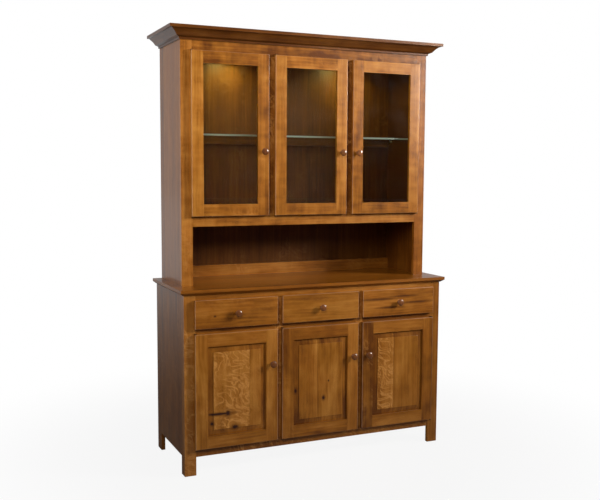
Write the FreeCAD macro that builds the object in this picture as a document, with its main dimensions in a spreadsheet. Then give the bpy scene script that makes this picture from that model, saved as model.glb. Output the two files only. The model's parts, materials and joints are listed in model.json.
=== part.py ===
import FreeCAD, Part
import os
import re

# A step back cupboard: a three-bay base with drawers over panelled doors, and a shallower glazed hutch on it.
# The front faces -Y, the floor is Z = 0, and the origin is on the floor under the middle of the whole piece.
# The sheet Sizes holds every length that can be set, in millimetres. The sheet Places works out what follows.

SIZES = {
    # Outline of the base and of the hutch that stands back on it
    "base_width": 1372,
    "base_depth": 483,
    "counter_height": 874,
    "hutch_side_setback": 27,
    "hutch_depth": 360,
    "hutch_height": 1199,
    # Boards
    "board_thickness": 19,
    "frame_thickness": 19,
    "back_thickness": 6,
    "back_rabbet": 10,
    # Feet left standing when the sides are cut out
    "foot_height": 88,
    "front_foot_width": 52,
    "back_foot_width": 66,
    # Face frames
    "stile_width": 55,
    "base_mullion": 40,
    "base_top_rail": 31,
    "drawer_opening": 118,
    "base_mid_rail": 40,
    "base_bottom_rail": 45,
    "hutch_mullion": 49,
    "serving_height": 280,
    "hutch_mid_rail": 56,
    "hutch_top_rail": 113,
    # Countertop with a square edge over an undercut
    "counter_thickness": 26,
    "counter_edge": 14,
    "counter_overhang": 20,
    "counter_undercut": 16,
    # Crown, from the top down: fascia, step, a flat ogee in three slopes (heights and runs) and foot
    "crown_projection": 63,
    "crown_fascia": 14,
    "crown_step": 11,
    "crown_upper": 14,
    "crown_upper_run": 18,
    "crown_middle": 15,
    "crown_middle_run": 12,
    "crown_lower": 6,
    "crown_lower_run": 15,
    "crown_foot": 9,
    # Shelves and what carries them
    "base_shelf_rise": 250,
    "shelf_setback": 25,
    "shelf_clearance": 1,
    "cleat_thickness": 15,
    "cleat_height": 30,
    "glass_shelf_rise": 372,
    "glass_shelf_thickness": 8,
    "glass_shelf_setback": 15,
    "shelf_pin_radius": 3,
    "shelf_pin_insert": 9,
    "shelf_pin_reach": 12,
    "shelf_pin_margin": 45,
    # Hutch fittings
    "back_rail_height": 57,
    "light_spacing": 646,
    "light_setback": 150,
    "light_radius": 35,
    "light_height": 22,
    "lens_radius": 30,
    "lens_thickness": 4,
    "cord_hole_radius": 19,
    "cord_hole_inset": 120,
    "cord_hole_drop": 90,
    # Doors and drawer fronts that lie over the face frame
    "door_overlay": 8,
    "door_gap": 2,
    "door_thickness": 19,
    "edge_round": 3,
    "upper_member": 57,
    "lower_member": 60,
    # Glazing
    "glass_thickness": 4,
    "glass_clearance": 1,
    "glass_lip": 9,
    "glass_rabbet": 9,
    # Raised panels
    "panel_setback": 4,
    "panel_tongue": 5,
    "panel_groove": 9,
    "panel_float": 1.5,
    "panel_bevel": 28,
    "panel_rise": 6.5,
    "panel_step": 1.5,
    # Pivot hinges
    "pivot_inset": 5,
    "pivot_depth": 12,
    "pivot_gap": 0.3,
    "pin_radius": 2,
    "pin_length": 12,
    "pin_clearance": 0.05,
    "bush_wall": 1,
    "bush_length": 14,
    "bar_thickness": 3,
    "bar_nose": 4,
    "bar_slot": 12,
    # Magnetic catches
    "catch_width": 12,
    "catch_depth": 14,
    "catch_height": 40,
    "catch_gap": 0.3,
    # Turned knobs
    "knob_length": 28,
    "knob_radius": 17,
    "knob_head": 17,
    "knob_foot": 3,
    "knob_foot_radius": 10,
    "knob_neck_radius": 6,
    "knob_tenon": 12,
    "knob_tenon_radius": 5,
    "upper_knob_rise": 307,
    "lower_knob_drop": 165,
    # Drawers and the runners, guides and kickers that carry them
    "drawer_side": 12,
    "drawer_height": 100,
    "drawer_length": 430,
    "drawer_side_gap": 1,
    "drawer_lift": 0.3,
    "drawer_bottom": 6,
    "drawer_bottom_lift": 10,
    "drawer_groove": 6,
    "runner_ledge": 18,
    "runner_height": 19,
    "guide_height": 40,
    "kicker_gap": 4,
    # How far a cutting tool runs past the faces it opens
    "overrun": 1,
}

PLACES = {
    "overall_depth": "base_depth + door_gap + door_thickness + knob_length",
    "back_plane": "overall_depth / 2",
    "inside_back": "back_plane - back_thickness",
    "base_half": "base_width / 2",
    "base_front": "back_plane - base_depth",
    "base_front_inside": "base_front + frame_thickness",
    "base_inside_depth": "inside_back - base_front_inside",
    "base_top": "counter_height - counter_thickness",
    "base_opening": "(base_width - 2 * stile_width - 2 * base_mullion) / 3",
    "base_deck_top": "foot_height + base_bottom_rail",
    "drawer_floor": "base_top - base_top_rail - drawer_opening",
    "base_doors_top": "drawer_floor - base_mid_rail",
    "fronts_back": "base_front - door_gap",
    "fronts_face": "fronts_back - door_thickness",
    "hutch_width": "base_width - 2 * hutch_side_setback",
    "hutch_half": "hutch_width / 2",
    "hutch_inside": "hutch_half - board_thickness",
    "hutch_front": "back_plane - hutch_depth",
    "hutch_front_inside": "hutch_front + frame_thickness",
    "hutch_inside_depth": "inside_back - hutch_front_inside",
    "hutch_top": "counter_height + hutch_height",
    "hutch_opening": "(hutch_width - 2 * stile_width - 2 * hutch_mullion) / 3",
    "hutch_mid_low": "counter_height + serving_height",
    "hutch_deck_top": "hutch_mid_low + hutch_mid_rail",
    "hutch_doors_top": "hutch_top - hutch_top_rail",
    "glass_shelf_low": "hutch_deck_top + glass_shelf_rise",
    "base_shelf_low": "base_deck_top + base_shelf_rise",
    "crown_height": "crown_fascia + crown_upper + crown_middle + crown_lower + crown_foot",
    "crown_upper_reach": "crown_projection - crown_step",
    "crown_middle_reach": "crown_upper_reach - crown_upper_run",
    "crown_lower_reach": "crown_middle_reach - crown_middle_run",
    "crown_foot_reach": "crown_lower_reach - crown_lower_run",
    "bush_bore": "pin_radius + pin_clearance",
    "bush_radius": "bush_bore + bush_wall",
    "drawer_low": "drawer_floor + drawer_lift",
    "drawer_width": "base_opening - 2 * drawer_side_gap",
    "kicker_low": "drawer_low + drawer_height + kicker_gap",
    "panel_front": "fronts_back - panel_setback - panel_tongue",
}

BAY_NAMES = ("left", "middle", "right")
BAYS = range(len(BAY_NAMES))
HINGE_SIDES = ("left", "left", "right")

doc = FreeCAD.newDocument("step_back_cupboard")
sizes = doc.addObject("Spreadsheet::Sheet", "Sizes")
places = doc.addObject("Spreadsheet::Sheet", "Places")
sheet_of = {alias: "Sizes" for alias in SIZES} | {alias: "Places" for alias in PLACES}
word = re.compile("[a-z_]+")


def formula(text):
    """Turns words such as base_width into references to the sheet that holds them."""
    return word.sub(lambda found: f"{sheet_of[found.group()]}.{found.group()}", text)


def fill_sheets():
    for row, (alias, value) in enumerate(SIZES.items(), start=1):
        sizes.set(f"A{row}", alias.replace("_", " "))
        sizes.set(f"B{row}", str(value))
        sizes.setAlias(f"B{row}", alias)
    for row, (alias, text) in enumerate(PLACES.items(), start=1):
        places.set(f"A{row}", alias.replace("_", " "))
        places.set(f"B{row}", "=" + formula(text))
        places.setAlias(f"B{row}", alias)
    doc.recompute()


# Helpers: each makes one object of the document and binds its sizes and place to the sheets

def bind(piece, place, **lengths):
    for name, text in lengths.items():
        piece.setExpression(name, formula(text))
    for axis, text in zip("xyz", place):
        piece.setExpression(f"Placement.Base.{axis}", formula(text))
    return piece


def box(place, size):
    piece = doc.addObject("Part::Box", "board")
    return bind(piece, place, Length=size[0], Width=size[1], Height=size[2])


TURNS = {
    "up": FreeCAD.Rotation(),
    "right": FreeCAD.Rotation(FreeCAD.Vector(0, 1, 0), 90),
    "front": FreeCAD.Rotation(FreeCAD.Vector(1, 0, 0), 90),
}


def rod(place, radius, length, towards="up"):
    piece = doc.addObject("Part::Cylinder", "rod")
    piece.Placement.Rotation = TURNS[towards]
    return bind(piece, place, Radius=radius, Height=length)


def group(label, pieces):
    whole = doc.addObject("Part::Compound", label)
    whole.Links = pieces
    whole.Label = label
    return whole


def fuse(pieces):
    whole = doc.addObject("Part::MultiFuse", "joined")
    whole.Shapes = pieces
    whole.Refine = True
    return whole


def cut(base, tools):
    left = doc.addObject("Part::Cut", "cut")
    left.Base = base
    left.Tool = tools[0] if len(tools) == 1 else group("tools", tools)
    return left


def common(first, second):
    shared = doc.addObject("Part::Common", "shared")
    shared.Base = first
    shared.Tool = second
    return shared


def eased_slab(place, size):
    """A board whose four front edges are rounded over."""
    slab = box(place, size)
    doc.recompute([slab])
    middle = slab.Shape.BoundBox.Center.y
    edges = [n for n, edge in enumerate(slab.Shape.Edges, start=1) if edge.BoundBox.YMax < middle]
    eased = doc.addObject("Part::Fillet", "eased")
    eased.Base = slab
    eased.Edges = [(n, sizes.get("edge_round"), sizes.get("edge_round")) for n in edges]
    return eased


def named(label, piece):
    piece.Label = label
    return piece


# Places that repeat from bay to bay

def base_edge(bay):
    """Left edge of an opening in the base's face frame."""
    return f"(-base_half + stile_width + {bay} * (base_opening + base_mullion))"


def hutch_edge(bay):
    """Left edge of an opening in the hutch's face frame."""
    return f"(-hutch_half + stile_width + {bay} * (hutch_opening + hutch_mullion))"


def bay_walls(bay):
    """The faces of the side or partition to the left and to the right of a base bay."""
    left = f"({base_edge(bay)} - base_mullion / 2 + board_thickness / 2)"
    right = f"({base_edge(bay)} + base_opening + base_mullion / 2 - board_thickness / 2)"
    if bay == BAYS[0]:
        left = "(-base_half + board_thickness)"
    if bay == BAYS[-1]:
        right = "(base_half - board_thickness)"
    return left, right


class Doorway:
    """Formulas for one door: its outline over an opening, its hinge line and its knob."""

    def __init__(self, name, edge, opening, low, high, front, knob_height, member, hinge):
        self.name = name
        self.front = front
        self.member = member
        self.knob_height = knob_height
        self.left = f"({edge} - door_overlay)"
        self.width = f"({opening} + 2 * door_overlay)"
        self.right = f"({self.left} + {self.width})"
        self.low = f"({low} - door_overlay)"
        self.top = f"({high} + door_overlay)"
        self.height = f"({self.top} - {self.low})"
        self.back = f"({front} - door_gap)"
        self.face = f"({front} - door_gap - door_thickness)"
        self.pivot_y = f"({self.back} - pivot_depth)"
        self.sight = (f"({self.left} + {member})", f"({self.low} + {member})")
        self.sight_size = (f"({self.width} - 2 * {member})", f"({self.height} - 2 * {member})")
        if hinge == "left":
            self.pivot_x = f"({self.left} + pivot_inset)"
            self.bar_x = self.left
            self.knob_x = f"({self.right} - {member} / 2)"
            self.catch_x = f"({self.right} - door_overlay - catch_width)"
        else:
            self.pivot_x = f"({self.right} - pivot_inset)"
            self.bar_x = f"({self.right} - door_overlay)"
            self.knob_x = f"({self.left} + {member} / 2)"
            self.catch_x = f"({self.left} + door_overlay)"


def upper_doorway(bay):
    rise = "(hutch_deck_top - door_overlay + upper_knob_rise)"
    return Doorway(f"upper_{BAY_NAMES[bay]}_door", hutch_edge(bay), "hutch_opening", "hutch_deck_top",
                   "hutch_doors_top", "hutch_front", rise, "upper_member", HINGE_SIDES[bay])


def lower_doorway(bay):
    rise = "(base_doors_top + door_overlay - lower_knob_drop)"
    return Doorway(f"lower_{BAY_NAMES[bay]}_door", base_edge(bay), "base_opening", "base_deck_top",
                   "base_doors_top", "base_front", rise, "lower_member", HINGE_SIDES[bay])


# Hinges and catches: the halves that stay on the face frames

def hinge_bracket(door, low_end):
    """A flat bar let into the frame, with the pin that a door turns on."""
    bar_low = f"{door.low} - pivot_gap - bar_thickness" if low_end else f"{door.top} + pivot_gap"
    pin_low = bar_low if low_end else f"{door.top} - pin_length"
    bar = box((door.bar_x, f"{door.pivot_y} - bar_nose", bar_low),
              ("door_overlay", "bar_nose + pivot_depth + door_gap + bar_slot", "bar_thickness"))
    pin = rod((door.pivot_x, door.pivot_y, pin_low), "pin_radius", "pin_length + pivot_gap + bar_thickness")
    return fuse([bar, pin])


def catch(door):
    """A magnet block on the edge of the face frame, behind the free edge of a door."""
    return box((door.catch_x, door.front, f"{door.knob_height} - catch_height / 2"),
               ("catch_width", "catch_depth", "catch_height"))


# Base

def base_side(label, left, rabbet_left):
    """A side board, cut out between its two feet and rabbeted for the back."""
    board = box((left, "base_front_inside", "0"),
                ("board_thickness", "back_plane - base_front_inside", "base_top"))
    foot_gap = box((f"{left} - overrun", "base_front + front_foot_width", "-overrun"),
                   ("board_thickness + 2 * overrun", "base_depth - front_foot_width - back_foot_width",
                    "foot_height + overrun"))
    rabbet = box((rabbet_left, "inside_back", "foot_height"),
                 ("back_rabbet + overrun", "back_thickness + overrun", "base_top - foot_height + overrun"))
    return named(label, cut(board, [foot_gap, rabbet]))


def base_sides():
    left = base_side("base_left_side", "-base_half", "-base_half + board_thickness - back_rabbet")
    right = base_side("base_right_side", "base_half - board_thickness",
                      "base_half - board_thickness - overrun")
    return [left, right]


def face_board(left, low, width, height, front, tools):
    return cut(box((left, front, low), (width, "frame_thickness", height)), tools)


def base_face_frame(brackets):
    """Stiles down to the floor, rails between them, mullions between the rails."""
    between = "base_width - 2 * stile_width"
    inner = "-base_half + stile_width"
    boards = [
        ("-base_half", "0", "stile_width", "base_top"),
        ("base_half - stile_width", "0", "stile_width", "base_top"),
        (inner, "base_top - base_top_rail", between, "base_top_rail"),
        (inner, "foot_height", between, "base_bottom_rail"),
    ]
    for bay in BAYS:
        boards.append((base_edge(bay), "base_doors_top", "base_opening", "base_mid_rail"))
    for bay in BAYS[1:]:
        boards.append((f"{base_edge(bay)} - base_mullion", "base_deck_top", "base_mullion",
                       "base_top - base_top_rail - base_deck_top"))
    return group("base_face_frame", [face_board(*board, "base_front", [brackets]) for board in boards])


def base_inside():
    """Deck, back and the two partitions behind the mullions."""
    deck = box(("-base_half + board_thickness", "base_front_inside", "base_deck_top - board_thickness"),
               ("base_width - 2 * board_thickness", "base_inside_depth", "board_thickness"))
    back = box(("-base_half + board_thickness - back_rabbet", "inside_back", "foot_height"),
               ("base_width - 2 * board_thickness + 2 * back_rabbet", "back_thickness",
                "base_top - foot_height"))
    partitions = [box((f"{base_edge(bay)} - base_mullion / 2 - board_thickness / 2", "base_front_inside",
                       "base_deck_top"), ("board_thickness", "base_inside_depth", "base_top - base_deck_top"))
                  for bay in BAYS[1:]]
    return [named("base_deck", deck), named("base_back", back), group("base_partitions", partitions)]


def base_shelves():
    """One shelf in each bay behind the doors, with a cleat under each end, and the hutch's shelf batten."""
    shelves = []
    cleats = []
    depth = "base_inside_depth - shelf_setback"
    front = "base_front_inside + shelf_setback"
    for bay in BAYS:
        left, right = bay_walls(bay)
        shelves.append(box((f"{left} + shelf_clearance", front, "base_shelf_low"),
                           (f"{right} - {left} - 2 * shelf_clearance", depth, "board_thickness")))
        for cleat_left in (left, f"{right} - cleat_thickness"):
            cleats.append(box((cleat_left, front, "base_shelf_low - cleat_height"),
                              ("cleat_thickness", depth, "cleat_height")))
    cleats.append(box(("-hutch_inside", "inside_back - cleat_thickness", "glass_shelf_low - cleat_height"),
                      ("2 * hutch_inside", "cleat_thickness", "cleat_height")))
    return [group("base_shelves", shelves), group("shelf_cleats", cleats)]


def drawer_runners():
    """At each side of a drawer: a ledge under it, a guide beside it and a kicker over it."""
    strips = []
    for bay in BAYS:
        left, right = bay_walls(bay)
        edge = base_edge(bay)
        far_edge = f"({edge} + base_opening)"
        for near, guide_width in ((left, f"{edge} - {left}"), (far_edge, f"{right} - {far_edge}")):
            ledge_left = left if near is left else f"{far_edge} - runner_ledge"
            ledge_width = f"{guide_width} + runner_ledge"
            for strip_left, width, low, height in (
                    (ledge_left, ledge_width, "drawer_floor - runner_height", "runner_height"),
                    (near, guide_width, "drawer_floor", "guide_height"),
                    (ledge_left, ledge_width, "kicker_low", "base_top - kicker_low")):
                strips.append(box((strip_left, "base_front_inside", low),
                                  (width, "base_inside_depth", height)))
    return group("drawer_runners", strips)


def countertop():
    """A slab with a square edge, undercut along the front and both ends and flush at the back."""
    reach = "(base_half + counter_overhang)"
    depth = "(base_depth + counter_overhang)"
    slab = box((f"-{reach}", "base_front - counter_overhang", "counter_height - counter_edge"),
               (f"2 * {reach}", depth, "counter_edge"))
    under = doc.addObject("Part::Wedge", "undercut")
    under.Placement.Rotation = TURNS["front"]
    bind(under, ("0", "back_plane", "base_top"),
         Ymin="0", Ymax="counter_thickness - counter_edge",
         Xmin=f"-{reach} + counter_undercut", Xmax=f"{reach} - counter_undercut",
         Zmin="0", Zmax=f"{depth} - counter_undercut",
         X2min=f"-{reach}", X2max=reach, Z2min="0", Z2max=depth)
    return named("countertop", fuse([slab, under]))


# Hutch

def hutch_side(label, left, rabbet_left, pins):
    board = box((left, "hutch_front_inside", "counter_height"),
                ("board_thickness", "back_plane - hutch_front_inside", "hutch_height"))
    rabbet = box((rabbet_left, "inside_back", "counter_height - overrun"),
                 ("back_rabbet + overrun", "back_thickness + overrun", "hutch_height + 2 * overrun"))
    return named(label, cut(board, [rabbet, pins]))


def hutch_sides(pins):
    left = hutch_side("hutch_left_side", "-hutch_half", "-hutch_inside - back_rabbet", pins)
    right = hutch_side("hutch_right_side", "hutch_inside", "hutch_inside - overrun", pins)
    return [left, right]


def hutch_face_frame(brackets, pins):
    between = "hutch_width - 2 * stile_width"
    inner = "-hutch_half + stile_width"
    boards = [
        ("-hutch_half", "counter_height", "stile_width", "hutch_height"),
        ("hutch_half - stile_width", "counter_height", "stile_width", "hutch_height"),
        (inner, "hutch_doors_top", between, "hutch_top_rail"),
        (inner, "hutch_mid_low", between, "hutch_mid_rail"),
    ]
    for bay in BAYS[1:]:
        boards.append((f"{hutch_edge(bay)} - hutch_mullion", "hutch_deck_top", "hutch_mullion",
                       "hutch_doors_top - hutch_deck_top"))
    return group("hutch_face_frame",
                 [face_board(*board, "hutch_front", [brackets, pins]) for board in boards])


def hutch_boards():
    """Top, deck, the rail at the back of the counter, and the back with its cord hole."""
    across = ("2 * hutch_inside", "hutch_inside_depth", "board_thickness")
    top = box(("-hutch_inside", "hutch_front_inside", "hutch_top - board_thickness"), across)
    deck = box(("-hutch_inside", "hutch_front_inside", "hutch_deck_top - board_thickness"), across)
    rail = box(("-hutch_inside", "inside_back - board_thickness", "counter_height"),
               ("2 * hutch_inside", "board_thickness", "back_rail_height"))
    panel = box(("-hutch_inside - back_rabbet", "inside_back", "counter_height"),
                ("2 * hutch_inside + 2 * back_rabbet", "back_thickness", "hutch_height"))
    cord_hole = rod(("hutch_inside - cord_hole_inset", "back_plane + overrun", "hutch_top - cord_hole_drop"),
                    "cord_hole_radius", "back_thickness + 2 * overrun", "front")
    back = cut(panel, [cord_hole])
    return [named("hutch_top", top), named("hutch_deck", deck), named("hutch_back_rail", rail),
            named("hutch_back", back)]


def glass_shelf():
    return named("glass_shelf", box(
        ("-hutch_inside + shelf_clearance", "hutch_front_inside + glass_shelf_setback", "glass_shelf_low"),
        ("2 * hutch_inside - 2 * shelf_clearance", "hutch_inside_depth - glass_shelf_setback",
         "glass_shelf_thickness")))


def glass_shelf_pins():
    """Pins under the glass: two in each side and one in the back of each mullion."""
    level = "glass_shelf_low - shelf_pin_radius"
    length = "shelf_pin_insert + shelf_clearance + shelf_pin_reach"
    shelf_front = "hutch_front_inside + glass_shelf_setback"
    pins = []
    for depth in (f"{shelf_front} + shelf_pin_margin", "inside_back - shelf_pin_margin"):
        for left in ("-hutch_inside - shelf_pin_insert", f"hutch_inside + shelf_pin_insert - ({length})"):
            pins.append(rod((left, depth, level), "shelf_pin_radius", length, "right"))
    for bay in BAYS[1:]:
        back_end = (f"{hutch_edge(bay)} - hutch_mullion / 2", f"{shelf_front} + shelf_pin_reach", level)
        pins.append(rod(back_end, "shelf_pin_radius",
                        "shelf_pin_insert + glass_shelf_setback + shelf_pin_reach", "front"))
    return group("glass_shelf_pins", pins)


def lights():
    """Two round lights under the hutch's top, nearer to its back, each with a lens set into its housing."""
    housings = []
    lenses = []
    for side in ("-", ""):
        middle = (f"{side}light_spacing / 2", "inside_back - light_setback",
                  "hutch_top - board_thickness - light_height")
        lens = rod(middle, "lens_radius", "lens_thickness")
        lenses.append(lens)
        housings.append(cut(rod(middle, "light_radius", "light_height"), [lens]))
    return [group("light_housings", housings), group("light_lenses", lenses)]


def crown_slope(length, low, height, low_reach, high_reach):
    """A length of crown whose reach grows evenly from low_reach at its foot to high_reach at its top."""
    slope = doc.addObject("Part::Wedge", "slope")
    slope.Placement.Rotation = TURNS["front"]
    return bind(slope, ("0", "0", low), Xmin="0", Xmax=length, X2min="0", X2max=length, Ymin="0", Ymax=height,
                Zmin="0", Zmax=low_reach, Z2min="0", Z2max=high_reach)


def crown_stock(length):
    """A straight length of crown from X = 0, its back on Y = 0 and its foot on Z = 0."""
    middle_low = "crown_foot + crown_lower"
    upper_low = f"{middle_low} + crown_middle"
    fascia_low = f"{upper_low} + crown_upper"
    foot = box(("0", "-crown_foot_reach", "0"), (length, "crown_foot_reach", "crown_foot"))
    lower = crown_slope(length, "crown_foot", "crown_lower", "crown_foot_reach", "crown_lower_reach")
    middle = crown_slope(length, middle_low, "crown_middle", "crown_lower_reach", "crown_middle_reach")
    upper = crown_slope(length, upper_low, "crown_upper", "crown_middle_reach", "crown_upper_reach")
    fascia = box(("0", "-crown_projection", fascia_low), (length, "crown_projection", "crown_fascia"))
    return fuse([foot, lower, middle, upper, fascia])


def crown_run(back_length, left_mitre, right_mitre, place, turn):
    """A length of crown, each end mitred where left_mitre or right_mitre is 1 and square where it is 0."""
    length = f"({back_length} + 2 * crown_projection)"
    mitre = doc.addObject("Part::Wedge", "mitre")
    mitre.Placement.Rotation = FreeCAD.Rotation(FreeCAD.Vector(0, 0, 1), 180)
    far = f"-crown_projection - {back_length}"
    bind(mitre, ("0", "0", "0"), Ymin="0", Ymax="crown_projection", Zmin="0", Zmax="crown_height",
         Xmin=far, Xmax="-crown_projection", Z2min="0", Z2max="crown_height",
         X2min=f"{far} - {right_mitre} * crown_projection",
         X2max=f"-crown_projection + {left_mitre} * crown_projection")
    run = common(crown_stock(length), mitre)
    run.Placement.Rotation = FreeCAD.Rotation(FreeCAD.Vector(0, 0, 1), turn)
    return bind(run, place)


def crown():
    """The front length and two returns, mitred at the front corners."""
    low = "hutch_top - crown_height"
    front = crown_run("hutch_width", 1, 1, ("-hutch_half - crown_projection", "hutch_front", low), 0)
    left = crown_run("hutch_depth", 0, 1, ("-hutch_half", "back_plane + crown_projection", low), -90)
    right = crown_run("hutch_depth", 1, 0, ("hutch_half", "hutch_front - crown_projection", low), 90)
    return group("crown_moulding", [front, left, right])


# Doors and drawers

def knob(label, middle_x, face, height):
    """A turned knob, and the plug that bores its hole: a tenon, a foot, a tapered neck and a rounded head."""
    head_middle = "knob_length - knob_head / 2"
    tenon = rod((middle_x, f"{face} + knob_tenon", height), "knob_tenon_radius",
                "knob_tenon + knob_foot", "front")
    foot = rod((middle_x, face, height), "knob_foot_radius", "knob_foot", "front")
    neck = doc.addObject("Part::Cone", "neck")
    neck.Placement.Rotation = TURNS["front"]
    bind(neck, (middle_x, face, height), Radius1="knob_foot_radius", Radius2="knob_neck_radius",
         Height=head_middle)
    head = doc.addObject("Part::Ellipsoid", "head")
    head.Placement.Rotation = TURNS["front"]
    bind(head, (middle_x, f"{face} - ({head_middle})", height), Radius1="knob_head / 2",
         Radius2="knob_radius", Radius3="knob_radius")
    hole = rod((middle_x, f"{face} + knob_tenon", height), "knob_tenon_radius",
               "knob_tenon + overrun", "front")
    return named(label, fuse([tenon, foot, neck, head])), hole


def door_fittings(door):
    """The bushes for the two pins and the strike plate, and the plugs that bore the bushes' seats."""
    bushes = []
    seats = []
    for low, seat_low in ((door.low, f"{door.low} - overrun"), (f"{door.top} - bush_length",) * 2):
        bush = rod((door.pivot_x, door.pivot_y, low), "bush_radius", "bush_length")
        bore = rod((door.pivot_x, door.pivot_y, f"{low} - overrun"), "bush_bore", "bush_length + 2 * overrun")
        seats.append(rod((door.pivot_x, door.pivot_y, seat_low), "bush_radius", "bush_length + overrun"))
        bushes.append(cut(bush, [bore]))
    strike = box((door.catch_x, door.back, f"{door.knob_height} - catch_height / 2"),
                 ("catch_width", "door_gap - catch_gap", "catch_height"))
    return group(f"{door.name}_fittings", bushes + [strike]), seats


def door_frame(door, tools):
    """Two stiles at full height and two rails between them, eased together and cut by the tools."""
    member = door.member
    envelope = eased_slab((door.left, door.face, door.low), (door.width, "door_thickness", door.height))
    rail_left = f"{door.left} + {member}"
    rail_width = f"{door.width} - 2 * {member}"
    boards = (
        (door.left, door.low, member, door.height),
        (f"{door.right} - {member}", door.low, member, door.height),
        (rail_left, door.low, rail_width, member),
        (rail_left, f"{door.top} - {member}", rail_width, member),
    )
    pieces = [box((left, door.face, low), (width, "door_thickness", height))
              for left, low, width, height in boards]
    return group(f"{door.name}_frame", [cut(common(piece, envelope), tools) for piece in pieces])


def around_sight(door, margin, back, depth):
    """A flat box as large as a door's clear opening and a margin on every side."""
    return box((f"{door.sight[0]} - ({margin})", back, f"{door.sight[1]} - ({margin})"),
               (f"{door.sight_size[0]} + 2 * ({margin})", depth, f"{door.sight_size[1]} + 2 * ({margin})"))


def upper_door(door):
    """A glazed door: the pane lies in a rabbet and four stops hold it from behind."""
    lip_back = f"({door.face} + glass_lip)"
    pane_back = f"({lip_back} + glass_thickness)"
    stop_depth = f"({door.back} - {pane_back})"
    fittings, seats = door_fittings(door)
    pull, hole = knob(f"{door.name}_knob", door.knob_x, door.face, door.knob_height)
    rabbet = around_sight(door, "glass_rabbet", lip_back, "door_thickness - glass_lip + overrun")
    pane = around_sight(door, "glass_rabbet - glass_clearance", lip_back, "glass_thickness")
    stops = []
    for left in (f"{door.sight[0]} - glass_rabbet", f"{door.sight[0]} + {door.sight_size[0]}"):
        stops.append(box((left, pane_back, f"{door.sight[1]} - glass_rabbet"),
                         ("glass_rabbet", stop_depth, f"{door.sight_size[1]} + 2 * glass_rabbet")))
    for low in (f"{door.sight[1]} - glass_rabbet", f"{door.sight[1]} + {door.sight_size[1]}"):
        stops.append(box((door.sight[0], pane_back, low), (door.sight_size[0], stop_depth, "glass_rabbet")))
    return [door_frame(door, [rabbet, hole] + seats), named(f"{door.name}_glass", pane),
            group(f"{door.name}_glass_stops", stops), pull, fittings]


def raised_panel(door):
    """A panel with a tongue all round, a sloped margin and a raised field."""
    tongue = around_sight(door, "panel_groove - panel_float", "panel_front", "panel_tongue")
    middle = f"{door.sight[0]} + {door.sight_size[0]} / 2"
    half = f"{door.sight_size[0]} / 2"
    margin = doc.addObject("Part::Wedge", "margin")
    margin.Placement.Rotation = FreeCAD.Rotation(FreeCAD.Vector(0, 0, 1), 180)
    bind(margin, (middle, "panel_front", door.sight[1]), Ymin="0", Ymax="panel_rise",
         Xmin=f"-{half}", Xmax=half, Zmin="0", Zmax=door.sight_size[1],
         X2min=f"-{half} + panel_bevel", X2max=f"{half} - panel_bevel",
         Z2min="panel_bevel", Z2max=f"{door.sight_size[1]} - panel_bevel")
    field = around_sight(door, "-panel_bevel", "panel_front - panel_rise - panel_step",
                         "panel_rise + panel_step")
    return named(f"{door.name}_panel", fuse([tongue, margin, field]))


def lower_door(door):
    """A panelled door: the panel's tongue floats in a groove round the frame."""
    fittings, seats = door_fittings(door)
    pull, hole = knob(f"{door.name}_knob", door.knob_x, door.face, door.knob_height)
    groove = around_sight(door, "panel_groove", "panel_front", "panel_tongue")
    return [door_frame(door, [groove, hole] + seats), raised_panel(door), pull, fittings]


def drawer(bay):
    """A front that lies over the face frame, on a box whose bottom is let into grooves."""
    name = f"{BAY_NAMES[bay]}_drawer"
    left = f"({base_edge(bay)} + drawer_side_gap)"
    front = eased_slab((f"{base_edge(bay)} - door_overlay", "fronts_face", "drawer_floor - door_overlay"),
                       ("base_opening + 2 * door_overlay", "door_thickness",
                        "drawer_opening + 2 * door_overlay"))
    pull, hole = knob(f"{name}_knob", f"{base_edge(bay)} + base_opening / 2", "fronts_face",
                      "drawer_floor + drawer_opening / 2")
    inner_left = f"{left} + drawer_side"
    inner_width = "drawer_width - 2 * drawer_side"
    bottom = box((f"{inner_left} - drawer_groove", "fronts_back + drawer_side - drawer_groove",
                  "drawer_low + drawer_bottom_lift"),
                 (f"{inner_width} + 2 * drawer_groove", "drawer_length - 2 * drawer_side + 2 * drawer_groove",
                  "drawer_bottom"))
    boards = (
        (left, "fronts_back", "drawer_side", "drawer_length"),
        (f"{left} + drawer_width - drawer_side", "fronts_back", "drawer_side", "drawer_length"),
        (inner_left, "fronts_back", inner_width, "drawer_side"),
        (inner_left, "fronts_back + drawer_length - drawer_side", inner_width, "drawer_side"),
    )
    walls = [cut(box((x, y, "drawer_low"), (width, depth, "drawer_height")), [bottom])
             for x, y, width, depth in boards]
    return [named(f"{name}_front", cut(front, [hole])), group(f"{name}_box", walls + [bottom]), pull]


def build():
    """Makes every sub-part and returns those that become files."""
    uppers = [upper_doorway(bay) for bay in BAYS]
    lowers = [lower_doorway(bay) for bay in BAYS]
    doors = uppers + lowers
    brackets = group("hinge_brackets", [hinge_bracket(door, low_end)
                                        for door in doors for low_end in (True, False)])
    pins = glass_shelf_pins()
    parts = [brackets, pins, group("magnetic_catches", [catch(door) for door in doors])]
    parts += base_sides() + base_inside() + base_shelves()
    parts += [base_face_frame(brackets), drawer_runners(), countertop()]
    parts += hutch_sides(pins) + hutch_boards() + lights()
    parts += [hutch_face_frame(brackets, pins), glass_shelf(), crown()]
    for door in uppers:
        parts += upper_door(door)
    for door in lowers:
        parts += lower_door(door)
    for bay in BAYS:
        parts += drawer(bay)
    doc.recompute()
    return parts


def check(parts):
    """Stops before anything is written if an object failed or a shape is empty or broken."""
    failed = [item.Label for item in doc.Objects if "Invalid" in item.State or "Error" in item.State]
    broken = [part.Label for part in parts if part.Shape.isNull() or not part.Shape.isValid()]
    if failed or broken:
        raise RuntimeError(f"failed objects {failed}, broken shapes {broken}")


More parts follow.
